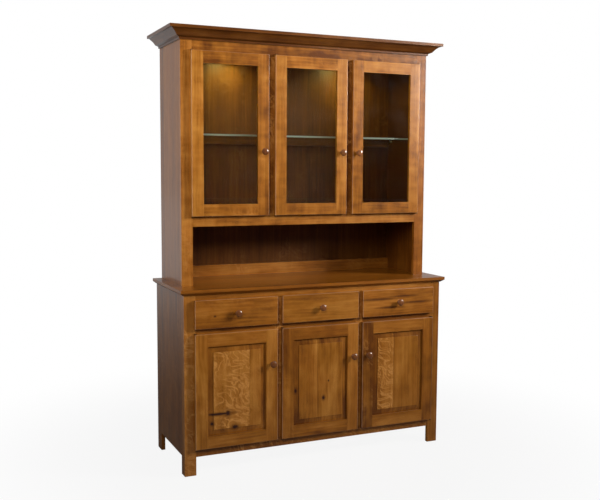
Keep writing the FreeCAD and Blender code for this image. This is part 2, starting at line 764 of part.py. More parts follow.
fill_sheets()
subparts = build()
check(subparts)
os.makedirs("parts", exist_ok=True)
for part in subparts:
    part.Shape.exportStep(f"parts/{part.Label}.step")
    print(part.Label, len(part.Shape.Solids), "solids", round(part.Shape.Volume / 1000), "cm3")
print(len(subparts), "sub-parts")
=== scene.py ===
# %% [markdown]
# # A step back cupboard in quarter-sawn oak
# The cupboard comes from the workshop as plain solids, one for each board, pane and fitting. This lesson dresses
# them: it eases their edges, gives every board its own piece of timber, turns the knobs, glazes the doors and lights
# the stage. All lengths are in metres, the front faces -Y and the floor is Z = 0.

# %% Load the solids
import json
import math
import random

import bmesh
import bpy
from mathutils import Matrix, Vector

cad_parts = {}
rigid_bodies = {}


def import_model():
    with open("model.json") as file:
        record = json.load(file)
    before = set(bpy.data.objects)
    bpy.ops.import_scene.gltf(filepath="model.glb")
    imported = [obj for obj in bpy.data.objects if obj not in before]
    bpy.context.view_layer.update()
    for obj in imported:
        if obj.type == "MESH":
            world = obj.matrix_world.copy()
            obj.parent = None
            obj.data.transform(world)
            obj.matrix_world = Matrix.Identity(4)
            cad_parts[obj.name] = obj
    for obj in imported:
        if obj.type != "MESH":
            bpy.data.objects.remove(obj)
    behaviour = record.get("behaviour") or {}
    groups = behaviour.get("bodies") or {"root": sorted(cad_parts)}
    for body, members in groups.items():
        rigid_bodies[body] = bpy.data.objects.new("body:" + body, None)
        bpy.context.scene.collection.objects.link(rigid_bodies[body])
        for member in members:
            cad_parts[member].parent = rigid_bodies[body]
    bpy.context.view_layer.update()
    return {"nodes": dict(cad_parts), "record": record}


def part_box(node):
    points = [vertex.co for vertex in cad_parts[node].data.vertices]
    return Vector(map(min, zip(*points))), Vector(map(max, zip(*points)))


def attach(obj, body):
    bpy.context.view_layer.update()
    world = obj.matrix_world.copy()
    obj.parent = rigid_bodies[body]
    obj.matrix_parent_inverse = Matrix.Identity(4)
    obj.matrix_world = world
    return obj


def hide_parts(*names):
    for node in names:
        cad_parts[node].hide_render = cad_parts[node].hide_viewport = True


for leftover in list(bpy.data.objects):
    bpy.data.objects.remove(leftover)
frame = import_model()
body_of = {node: body for body, nodes in frame["record"]["behaviour"]["bodies"].items() for node in nodes}
slot_of = {part["node"]: part["material_slot"] for part in frame["record"]["subparts"]}

# %% [markdown]
# ## The camera
# The photograph looks at the left front corner from half a metre above the counter. Its camera was worked out from
# the cupboard's corners: a turn of 24 degrees, a look down of 5 degrees and a lens of 51 mm. A camera's matrix holds
# its right, up and backward directions as columns, so it is easiest to build these three vectors.

# %% Set the camera
CAMERA_SPOT = (-1.763, -3.924, 1.4187)
SENSOR_MM, LENS_MM = 36, 50.94
YAW, PITCH, ROLL = (math.radians(angle) for angle in (24.06, -5.34, 0.30))
forward = Vector((math.sin(YAW) * math.cos(PITCH), math.cos(YAW) * math.cos(PITCH), math.sin(PITCH)))
level = Vector((math.cos(YAW), -math.sin(YAW), 0))
upright = level.cross(forward)
right = level * math.cos(ROLL) + upright * math.sin(ROLL)
up = upright * math.cos(ROLL) - level * math.sin(ROLL)

lens = bpy.data.cameras.new("photo_camera")
lens.sensor_fit = "HORIZONTAL"
lens.sensor_width, lens.lens = SENSOR_MM, LENS_MM
camera = bpy.data.objects.new("photo_camera", lens)
turned = Matrix((right, up, -forward)).transposed().to_4x4()
camera.matrix_world = Matrix.Translation(CAMERA_SPOT) @ turned
bpy.context.scene.collection.objects.link(camera)
bpy.context.scene.camera = camera
print("camera at", tuple(round(c, 2) for c in camera.matrix_world.translation))

# %% [markdown]
# ## Sums on sockets
# A finish is mostly sums on patterns. A node tree is tiring to read when each sum takes four lines, so one small
# class wraps a socket and lets Python's own operators add the Math nodes. Every other kind of node comes from its
# method `node`, which sets the node's settings first and then its sockets.

# %% Wrap a socket
class Flow:
    """An output socket that can stand in a Python sum."""

    def __init__(self, socket):
        self.socket = socket
        self.tree = socket.id_data

    @classmethod
    def node(cls, tree, kind, settings=(), sockets=(), out=0):
        made = tree.nodes.new("ShaderNode" + kind)
        for name, value in dict(settings).items():
            if name == "stops":
                ramp = made.color_ramp.elements
                while len(ramp) < len(value):
                    ramp.new(0.5)
                for element, (place, colour) in zip(ramp, value):
                    element.position, element.color = place, (*colour, 1)
            else:
                setattr(made, name, value)
        for name, value in dict(sockets).items():
            if isinstance(value, Flow):
                tree.links.new(value.socket, made.inputs[name])
            else:
                made.inputs[name].default_value = value
        return cls(made.outputs[out])

    def other(self, out):
        return Flow(self.socket.node.outputs[out])

    def sum(self, operation, *terms):
        return self.node(self.tree, "Math", {"operation": operation}, enumerate(terms))

    def __add__(self, term): return self.sum("ADD", self, term)
    def __radd__(self, term): return self.sum("ADD", term, self)
    def __sub__(self, term): return self.sum("SUBTRACT", self, term)
    def __rsub__(self, term): return self.sum("SUBTRACT", term, self)
    def __mul__(self, term): return self.sum("MULTIPLY", self, term)
    def __rmul__(self, term): return self.sum("MULTIPLY", term, self)
    def __truediv__(self, term): return self.sum("DIVIDE", self, term)
    def __rtruediv__(self, term): return self.sum("DIVIDE", term, self)
    def __floordiv__(self, term): return self.sum("FLOOR", self / term)
    def __pow__(self, term): return self.sum("POWER", self, term)
    def __or__(self, term): return self.sum("MAXIMUM", self, term)
    def __abs__(self): return self.sum("ABSOLUTE", self)


def fade(value, low, high, start=0.0, end=1.0):
    """A soft step: start below low, end above high."""
    return Flow.node(value.tree, "MapRange", {"interpolation_type": "SMOOTHSTEP"},
                     {"Value": value, "From Min": low, "From Max": high, "To Min": start, "To Max": end})


def place(tree, x, y, z):
    return Flow.node(tree, "CombineXYZ", (), {0: x, 1: y, 2: z})


def noise(vector, scale=1.0, detail=2.0, roughness=0.5, distortion=0.0):
    return Flow.node(vector.tree, "TexNoise", (), {"Vector": vector, "Scale": scale, "Detail": detail,
                                                   "Roughness": roughness, "Distortion": distortion})


def tint(share, under, over, blend="MIX"):
    """Lays the colour over on the colour under, as strongly as share says."""
    settings = {"data_type": "RGBA", "blend_type": blend, "clamp_factor": True}
    return Flow.node(share.tree, "Mix", settings, {0: share, 6: under, 7: over}, out=2)


def new_tree(name):
    """An empty material with its Principled shader, ready for sockets."""
    material = bpy.data.materials.new(name)
    material.use_nodes = True
    shader = material.node_tree.nodes["Principled BSDF"]
    return material, material.node_tree, shader


def feed(shader, **sockets):
    """Sets or links sockets of a shader; underscores in a name stand for spaces."""
    tree = shader.id_data
    for name, value in sockets.items():
        socket = shader.inputs[name.replace("_", " ")]
        if isinstance(value, Flow):
            tree.links.new(value.socket, socket)
        else:
            socket.default_value = value


print("sums on sockets are ready")

# %% [markdown]
# ## Floor and surround
# The photograph stands on pure white. Pouring in light until a floor clips to white would spoil the timber, so the
# world and the floor look at the kind of ray instead: the camera sees white, while the light that falls on the
# cupboard stays at a plain level. Varnish and panes mirror a third picture, grey behind the cupboard and nearly black
# in front of it, as in a dark studio, so that the glass stays clear; the floor is darker in it as well. For the
# camera the floor keeps a part of its real shading, and with it the soft shadow under the feet.

# %% Tell the kinds of ray apart
NO_BOUNCE = (0.2, 0.8, 1, 0)  # turns a count of bounces into 1 for none and 0 for one or more


def kinds_of_ray(tree):
    """Two masks: rays straight from the camera, also through a pane, and rays mirrored by varnish or glass."""
    path = Flow.node(tree, "LightPath", out="Is Camera Ray")
    first = fade(path.other("Diffuse Depth"), *NO_BOUNCE)
    straight = fade(path.other("Glossy Depth"), *NO_BOUNCE)
    through = path.other("Is Transmission Ray") * first
    return path | through * straight, path.other("Is Glossy Ray") * first | through * (1 - straight)


print("rays are told apart")

# %% Make the surround
AMBIENT, MIRRORED_FRONT, MIRRORED_BACK = 0.13, 0.015, 0.42
FRONT, BACK = -0.75, -0.10  # the part along Y of a direction that counts as to the front or to the back
world = bpy.data.worlds.new("surround")
world.use_nodes = True
bpy.context.scene.world = world
sky = world.node_tree
seen, shiny = kinds_of_ray(sky)
towards = Flow.node(sky, "TexCoord", out="Generated")
depth = Flow.node(sky, "SeparateXYZ", (), {0: towards}, out="Y")
mirrored = fade(depth, FRONT, BACK, MIRRORED_FRONT, MIRRORED_BACK)
backdrop = sky.nodes["Background"]
strength = seen + (1 - seen) * (shiny * mirrored + (1 - shiny) * AMBIENT)
sky.links.new(strength.socket, backdrop.inputs["Strength"])
backdrop.inputs["Color"].default_value = (1, 1, 1, 1)
print("surround made, ambient level", AMBIENT)

# %% Lay the floor
FLOOR_RADIUS = 40
SHADOW_FADES, MIRROR_FADES = (0.7, 2.2), (0.4, 9.0)  # distances from the middle, and behind it
WHITE_AT_FEET, WHITE_IN_MIRRORS, DARK_IN_MIRRORS = 0.90, 0.5, 0.7
PAPER_DARK, PAPER_LIGHT, PAPER_MIRRORED = (0.40, 0.40, 0.40, 1), (0.46, 0.46, 0.46, 1), (0.06, 0.05, 0.04, 1)
bpy.ops.mesh.primitive_circle_add(vertices=96, radius=FLOOR_RADIUS, fill_type="NGON", location=(0, 0, 0))
floor = bpy.context.object
floor.name = "floor"
paper, tree, shader = new_tree("floor_paper")
seen, shiny = kinds_of_ray(tree)
at = Flow.node(tree, "TexCoord", out="Object")
away = Flow.node(tree, "VectorMath", {"operation": "LENGTH"}, {0: at}, out="Value")
behind = Flow.node(tree, "SeparateXYZ", (), {0: at}, out="Y")
white = (seen * fade(away, *SHADOW_FADES, WHITE_AT_FEET, 1.0)
         | shiny * fade(behind, *MIRROR_FADES, 0, WHITE_IN_MIRRORS))
grey = tint(noise(at, 3.0, 3.0), PAPER_DARK, PAPER_LIGHT)
feed(shader, Base_Color=tint(shiny * DARK_IN_MIRRORS, grey, PAPER_MIRRORED), Roughness=0.9)
glow = Flow.node(tree, "Emission", (), {"Color": (1, 1, 1, 1), "Strength": 1.0})
mixed = Flow.node(tree, "MixShader", (), {0: white, 1: Flow(shader.outputs[0]), 2: glow})
tree.links.new(mixed.socket, tree.nodes["Material Output"].inputs["Surface"])
floor.data.materials.append(paper)
print("floor laid")

# %% [markdown]
# ## Studio light
# The knobs throw their shadows down to the left and shine at the upper right, so the key light stands far to the
# right and above the camera. A weaker lamp fills from the left, a third one lights the left side and the left edges
# of the doors, and a fourth one the back, which the photograph doesn't show. Large area lamps give soft shadows. A
# narrow spread keeps the light on the upper half, which is twice as bright as the lower one. Of the four only the key
# light shows in varnish and glass, so no white oblong of another lamp covers a pane.

# %% Hang the lamps
def lamp(name, spot, aim, size, power, colour, spread, shines=False):
    """Hangs a lamp with its width and height in metres, its power in watts and its spread in degrees."""
    light = bpy.data.lights.new(name, "AREA")
    light.shape = "RECTANGLE"
    light.size, light.size_y = size
    light.energy, light.color, light.spread = power, colour, math.radians(spread)
    made = bpy.data.objects.new(name, light)
    turn = (Vector(aim) - Vector(spot)).to_track_quat("-Z", "Y")
    made.matrix_world = Matrix.Translation(spot) @ turn.to_matrix().to_4x4()
    made.visible_glossy = made.visible_transmission = shines
    bpy.context.scene.collection.objects.link(made)


lamp("key_light", spot=(3.3, -2.2, 2.5), aim=(0, 0, 1.8), size=(1.0, 1.3),
     power=42, colour=(1, 0.95, 0.88), spread=70, shines=True)
lamp("fill_light", spot=(-1.6, -2.4, 2.6), aim=(0, 0, 1.65), size=(0.9, 1.4),
     power=13, colour=(1, 0.96, 0.91), spread=92)
lamp("side_light", spot=(-3.1, -1.0, 2.0), aim=(-0.5, 0, 1.8), size=(0.8, 1.6),
     power=7, colour=(1, 0.96, 0.93), spread=72)
lamp("back_light", spot=(1.4, 3.2, 2.3), aim=(0, 0.27, 1.2), size=(1.2, 1.6),
     power=12, colour=(1, 0.97, 0.94), spread=100)
print("four lamps hang")

# %% [markdown]
# ## Boards
# Every node is one or several closed solids: a door frame has two stiles and two rails. To give each board its own
# timber, the node's faces are sorted back into solids. They come in order, so a solid is complete as soon as no open
# edge is left. Flat faces are then joined again, and every sharp long edge gets a weight for its rounding.

# %% Sort a node's faces into boards
def boards_of(node):
    """The points of a node and its closed solids, each a list of faces."""
    mesh = frame["nodes"][node].data
    points = {}
    at = [points.setdefault(tuple(round(c, 6) for c in vertex.co), len(points)) for vertex in mesh.vertices]
    boards, faces, open_edges = [], [], set()
    for polygon in mesh.polygons:
        corners = [at[v] for v in polygon.vertices]
        if len(set(corners)) < 3:
            continue
        faces.append(corners)
        for a, b in zip(corners, corners[1:] + corners[:1]):
            open_edges ^= {(min(a, b), max(a, b))}
        if not open_edges:
            boards.append(faces)
            faces = []
    return list(points), boards


SHARP, LONG = math.radians(50), 0.004  # edges that are rounded
FLAT, TOUCH = 0.001, 1e-5  # angle between faces of one plane, and distance that counts as none
SMOOTH = math.radians(20)  # faces that are shaded as one surface
ROUNDING, RIM, FIELD, EASED = 0.006, 1.0, 0.18, 0.1  # the widest rounding, and shares of it


def span(points):
    """The lowest and the highest corner of the box round some points."""
    return (Vector(min(point[axis] for point in points) for axis in range(3)),
            Vector(max(point[axis] for point in points) for axis in range(3)))


def flat_regions(faces):
    """Groups of faces that lie in one plane and touch."""
    todo, regions = dict.fromkeys(faces), []
    while todo:
        region = [next(iter(todo))]
        del todo[region[0]]
        for face in region:
            for edge in face.edges:
                for other in edge.link_faces:
                    if other in todo and edge.calc_face_angle(0) < FLAT:
                        del todo[other]
                        region.append(other)
        regions.append(region)
    return regions


def board_mesh(name, node, rim=False):
    """One mesh with all boards of a node, the number of its board on every vertex, and the edges to round.

    With rim, the outer edges of the front are rounded fully. All others are only eased, and a little more round the
    raised field of a panel.
    """
    points, boards = boards_of(node)
    low, high = span(points)
    shape = bmesh.new()
    number = shape.verts.layers.int.new("board")
    for count, faces in enumerate(boards):
        corner = {}
        for face in faces:
            for p in face:
                if p not in corner:
                    corner[p] = shape.verts.new(points[p])
                    corner[p][number] = count
            shape.faces.new([corner[p] for p in face])
    for region in flat_regions(list(shape.faces)):
        corners = {corner for face in region for corner in face.verts}
        sides = {edge for face in region for edge in face.edges}
        if len(region) > 1 and len(corners) - len(sides) + len(region) == 1:
            bmesh.ops.dissolve_faces(shape, faces=region)
    rounded = shape.edges.layers.float.new("bevel_weight_edge")
    for edge in shape.edges:
        if edge.calc_face_angle(0) > SHARP and edge.calc_length() > LONG:
            one, two = (corner.co for corner in edge.verts)
            front = max(one.y, two.y) < low.y + TOUCH
            outer = any(max(abs(one[axis] - side[axis]), abs(two[axis] - side[axis])) < TOUCH
                        for axis in (0, 2) for side in (low, high))
            edge[rounded] = RIM if rim and front and outer else FIELD if front and edge.is_convex else EASED
    mesh = bpy.data.meshes.new(name)
    shape.to_mesh(mesh)
    shape.free()
    mesh.shade_smooth()
    mesh.set_sharp_from_angle(angle=SMOOTH)
    return mesh


print("lower left door frame has", len(boards_of("lower_left_door_frame")[1]), "boards")

# %% [markdown]
# A cabinetmaker picks boards one by one, so the choice is written down here: `tone` is light or dark, `warm` is
# yellow or red, `flecks` is how strongly the rays show left and right of a glue joint, `joint` is where that joint
# lies, `wave` is how wavy the grain is, `curl` is how strong the cloudy bands across it are, `staves` is the width of
# the strips that wide boards are glued from, and `upright` turns the grain of a board that is wider than high. A knot
# is given by its place along and across the grain from the board's middle, and its half length and half width. What
# isn't chosen is drawn by lot or plain.

# %% Choose the timber
CURLY, PLAIN = 0.6, 0.1
NO_KNOT = (9.0, 9.0, 0.001, 0.001)
KNOT_NAMES = ("knot_one", "knot_two", "knot_three", "knot_four")
CHOICE = {
    "lower_left_door_panel": [dict(tone=0.56, warm=0.40, flecks=(1.0, 0.3), joint=0.061, knots=(
        (-0.110, -0.094, 0.0055, 0.055), (-0.110, -0.048, 0.012, 0.011),
        (-0.154, -0.126, 0.008, 0.007), (-0.180, -0.012, 0.009, 0.014)))],
    "lower_middle_door_panel": [dict(tone=0.50, warm=0.25, flecks=(0.08, 0.12), joint=-0.02, knots=(
        (-0.042, -0.134, 0.010, 0.006), (-0.006, 0.041, 0.004, 0.003), (-0.089, 0.014, 0.009, 0.007)))],
    "lower_right_door_panel": [dict(tone=0.50, warm=0.38, flecks=(1.0, 0.15), joint=-0.026)],
    "left_drawer_front": [dict(tone=0.39, warm=0.40, flecks=(0.15, 0.15), wave=0.5, knots=(
        (-0.110, -0.010, 0.004, 0.003),))],
    "middle_drawer_front": [dict(tone=0.56, warm=0.25, flecks=(0.1, 0.1), wave=0.45)],
    "right_drawer_front": [dict(tone=0.54, warm=0.55, flecks=(0.15, 0.15), wave=0.4, knots=(
        (-0.125, 0.020, 0.075, 0.0045), (0.105, -0.004, 0.060, 0.0040), (0.020, 0.030, 0.050, 0.0035),
        (-0.060, -0.024, 0.045, 0.0035)))],
    "base_face_frame": [
        dict(tone=0.56, warm=0.60, flecks=(0.8, 0.8)), dict(tone=0.55, warm=0.4, flecks=(0.1, 0.1)),
        dict(tone=0.55, warm=0.35), dict(tone=0.40, warm=0.60, flecks=(0.7, 0.7)),
        dict(tone=0.45, warm=0.4), dict(tone=0.45, warm=0.4), dict(tone=0.45, warm=0.4),
        dict(tone=0.72, warm=0.9, flecks=(0.9, 0.9)), dict(tone=0.69, warm=0.7, flecks=(0.9, 0.9))],
    "hutch_face_frame": [
        dict(tone=0.72, warm=0.5, flecks=(0.35, 0.35)), dict(tone=0.38, warm=0.8, flecks=(0.1, 0.1)),
        dict(tone=0.30, warm=0.4, flecks=(0.3, 0.3)), dict(tone=0.63, warm=0.3, flecks=(0.15, 0.15)),
        dict(tone=0.32, warm=0.6, flecks=(0.7, 0.7)), dict(tone=0.32, warm=0.6, flecks=(0.7, 0.7))],
    "upper_left_door_frame": [dict(tone=0.72), dict(tone=0.42), dict(tone=0.40), dict(tone=0.31)],
    "upper_middle_door_frame": [dict(tone=0.50), dict(tone=0.57), dict(tone=0.47), dict(tone=0.56)],
    "upper_right_door_frame": [dict(tone=0.41), dict(tone=0.52), dict(tone=0.44), dict(tone=0.54)],
    "lower_left_door_frame": [dict(tone=0.50, warm=0.2), dict(tone=0.50, warm=0.3), dict(tone=0.48), dict(tone=0.44)],
    "lower_middle_door_frame": [dict(tone=0.32), dict(tone=0.60), dict(tone=0.44), dict(tone=0.42)],
    "lower_right_door_frame": [dict(tone=0.28), dict(tone=0.43), dict(tone=0.46), dict(tone=0.55)],
    "countertop": [dict(tone=0.45, warm=0.5, staves=0.13)],
    "hutch_back": [dict(staves=0.19, upright=True)],
    "base_back": [dict(staves=0.21, upright=True)],
}
for side in ("left_side", "right_side"):
    CHOICE["base_" + side] = [dict(tone=0.42, staves=0.16)]
    CHOICE["hutch_" + side] = [dict(tone=0.45, staves=0.15)]
print("timber chosen for", len(CHOICE), "nodes")

# %% [markdown]
# A material can read numbers that are stored on the points of a mesh, so one oak finish serves many boards. Each
# point carries its place along and across the grain, measured from the middle of its own board, and what was chosen
# for that board. The slopes of panels and crown and the inside of the hutch are darker in the photograph, so painted
# shade is stored for them too, as extra stain.

# %% Store the timber on the boards
NEAR, SKIN = 1e-4, 0.005  # distance that counts as none, and depth that counts as the outer face
PANEL_SLOPE, CROWN_SLOPE, CROWN_FOOT, OPEN_SPACE, BEHIND_GLASS = 1.0, 0.25, 0.9, 1.0, 1.8  # painted shade, laid on as extra stain
CROWN_FOOT_HEIGHT, GLASS_FROM = 0.012, 1.16  # heights above the crown's lower edge and above the floor
WHOLE, FIRST_JOINT = 9.0, -0.045  # a strip wider than any board, and the place of the first joint among staves


def store(mesh, name, kind, rows):
    layer = mesh.attributes.new(name, kind, "POINT")
    field = {"FLOAT_VECTOR": "vector", "FLOAT_COLOR": "color"}[kind]
    layer.data.foreach_set(field, [number for row in rows for number in row])


def painted_shade_at(node, point, low, high):
    """The painted shade, as extra stain, that a point holds, from its node's box: on slopes, and inside the hutch."""
    if node.endswith("_door_panel"):
        return PANEL_SLOPE * (point.y > low.y + NEAR)
    if node == "crown_moulding":
        below = point.y > low.y + NEAR and low.x + NEAR < point.x < high.x - NEAR
        return below * (CROWN_FOOT if point.z < low.z + CROWN_FOOT_HEIGHT else CROWN_SLOPE)
    if node in ("hutch_left_side", "hutch_right_side"):
        inner = abs(point.x) < max(abs(low.x), abs(high.x)) - SKIN
        return inner * (BEHIND_GLASS if point.z > GLASS_FROM else OPEN_SPACE)
    return 0.0


def store_timber(mesh, node):
    """Gives every board of a mesh its grain, seed, figure, glue joints, knots and painted shade."""
    board = [item.value for item in mesh.attributes["board"].data]
    places = [vertex.co.copy() for vertex in mesh.vertices]
    rows = {name: [None] * len(places) for name in ("grain", "seed", "figure", "strips") + KNOT_NAMES}
    chosen, whole = CHOICE.get(node, []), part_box(node)
    for count in range(max(board) + 1):
        draw = random.Random(f"{node} {count}")
        pick = dict(tone=draw.uniform(0.4, 0.6), warm=draw.uniform(0.2, 0.6), flecks=(draw.uniform(0.0, 0.35),) * 2,
                    wave=draw.uniform(0.0, 0.4), joint=None, staves=0, knots=(), upright=False,
                    curl=CURLY if node.startswith(("upper_", "hutch_face")) else PLAIN)
        if chosen:
            pick |= chosen[count]
        inside = [n for n, b in enumerate(board) if b == count]
        low, high = span([places[n] for n in inside])
        middle = (low + high) / 2
        through, across, along = sorted(range(3), key=lambda axis: (high - low)[axis])
        if pick["upright"] and along != 2:
            across, along = along, across
        strip_width = pick["staves"] or WHOLE
        strip_start = pick["joint"]
        if strip_start is None:
            strip_start = FIRST_JOINT if pick["staves"] else -WHOLE / 2
        seed = (pick["tone"], pick["warm"], draw.uniform(0, 40))
        knots = list(pick["knots"]) + [NO_KNOT] * (len(KNOT_NAMES) - len(pick["knots"]))
        for n in inside:
            offset = places[n] - middle
            rows["grain"][n] = (offset[along], offset[across], offset[through])
            rows["seed"][n] = seed
            rows["figure"][n] = (*pick["flecks"], pick["wave"], pick["curl"])
            # the third number of strips is the point's painted shade
            rows["strips"][n] = (strip_start, strip_width, painted_shade_at(node, places[n], *whole))
            for name, knot in zip(KNOT_NAMES, knots):
                rows[name][n] = knot
    for name, values in rows.items():
        store(mesh, name, "FLOAT_COLOR" if name in KNOT_NAMES + ("figure",) else "FLOAT_VECTOR", values)


print("a board carries grain, seed, figure, strips and", len(KNOT_NAMES), "knots")

# %% [markdown]
# ## Stained oak
# Quarter-sawn oak has straight dark lines along the grain, fine pores, and light rays that cross the grain in short
# wavy flecks. Lines of equal height in a stretched noise look just like such rays. Knots push the grain aside. The
# stain is brown, and a satin varnish lies over it: that is a coat on the shader. Round rims are found by their
# normal, which points between two axes. There the stain is worn thin, a painted highlight lies on them, strongest on
# the upright rims, and the varnish shines more.

# %% Read a board's timber
KNOT_EDGE, HALO_EDGE, BEND_EDGE = (0.55, 1.25), (0.9, 2.6), (0.8, 4.5)  # in half lengths and widths of a knot
SLENDER = (4, 14)  # length over width of the knots that fade into streaks
JOINT_EDGE = (0.0004, 0.0026)


def timber(tree):
    """Reads a board's stored values: grain along and across, bent round the knots, masks for knots and joints, and
    painted shade.
    """
    grain = Flow.node(tree, "Attribute", {"attribute_name": "grain"}, out="Vector")
    along = Flow.node(tree, "SeparateXYZ", (), {0: grain})
    across, through = along.other("Y"), along.other("Z")
    seed = Flow.node(tree, "Attribute", {"attribute_name": "seed"}, out="Vector")
    tone = Flow.node(tree, "SeparateXYZ", (), {0: seed})
    strips = Flow.node(tree, "Attribute", {"attribute_name": "strips"}, out="Vector")
    start = Flow.node(tree, "SeparateXYZ", (), {0: strips})
    strip = (across - start) // start.other("Y")
    calm = fade(start.other("Y"), 1, 8, 0.45, 1)  # staves are less cloudy than whole boards
    ragged = (noise(place(tree, along, across, through), 160, 2) - 0.5) * 0.9
    knot_mask, halo, bent = 0.0, 0.0, across
    for name in KNOT_NAMES:
        spot = Flow.node(tree, "Attribute", {"attribute_name": name}, out="Vector")
        length = Flow.node(tree, "SeparateXYZ", (), {0: spot})
        middle, half_length, half_width = length.other("Y"), length.other("Z"), spot.other("Alpha")
        far = ((((along - length) / half_length) ** 2) + (((across - middle) / half_width) ** 2)) ** 0.5
        strength = fade(half_length / half_width, *SLENDER, 1, 0.5)
        knot_mask = fade(far + ragged, *KNOT_EDGE, 1, 0) * strength | knot_mask
        halo = fade(far + ragged, *HALO_EDGE, 1, 0) | halo
        bent = bent - (across - middle) * fade(far, *BEND_EDGE, 0.55, 0)
    lot = Flow.node(tree, "TexWhiteNoise", {"noise_dimensions": "2D"},
                    {"Vector": place(tree, strip, tone.other("Z"), 0)}, out="Color")
    luck = Flow.node(tree, "SeparateXYZ", (), {0: lot})
    seam = fade(across - start - strip * start.other("Y"), *JOINT_EDGE, 1, 0)
    return dict(along=along, across=bent, through=through, tone=tone, warm=tone.other("Y"), shift=tone.other("Z"),
                strip=strip, slope=start.other("Z"), calm=calm, seam=seam, knots=knot_mask, halo=halo,
                luck=luck, luck_shift=luck.other("Y"), luck_warm=luck.other("Z"))


print("timber can be read from a board")

# %% [markdown]
# The finish adds its patterns up to one number between dark and light, painted shade taking some off, and a colour
# ramp makes oak of it. More painted shade, red stain, flecks, pores, glue joints, knots and a painted highlight on
# worn rims are laid over that one by one. Pores and flecks also change the height and the roughness a little, so that
# the varnish doesn't look like plastic.

# %% Mix the oak finish
PATTERNS = {  # waves per metre along and across the grain, detail and roughness of the noise
    "broad": (1.6, 11, 2, 0.55),
    "cloud": (8, 17, 2, 0.6),
    "bands": (1.3, 45, 2, 0.6),
    "lines": (2.6, 120, 3, 0.6),
    "curl": (24, 8, 2, 0.5),
    "wander": (2.4, 9, 2, 0.5),
    "drift": (9, 9, 1, 0.5),
    "patches": (5, 9, 2, 0.5),
    "pores": (38, 1300, 1, 0.5),
}
SHARE = dict(tone=1.1, luck=0.2, clouds=0.8, bands=0.55, lines=0.45, curl=1.2, wave=0.12, slope=0.24)  # of the stain
RIM_MASK_FROM, RIM_MASK_TO = 0.28, 0.42  # product of two parts of a normal
RUBBED_AND_HIGHLIT_OAK, KNOT_BROWN = (0.56, 0.36, 0.25, 1), (0.020, 0.006, 0.007, 1)
RED_STAIN, DEEP_PAINTED_SHADE = (1.0, 0.78, 0.72, 1), (0.4, 0.4, 0.4, 1)


def scaled(colour, factor, more=0.0):
    return tuple(c * factor + more for c in colour) + (1,)


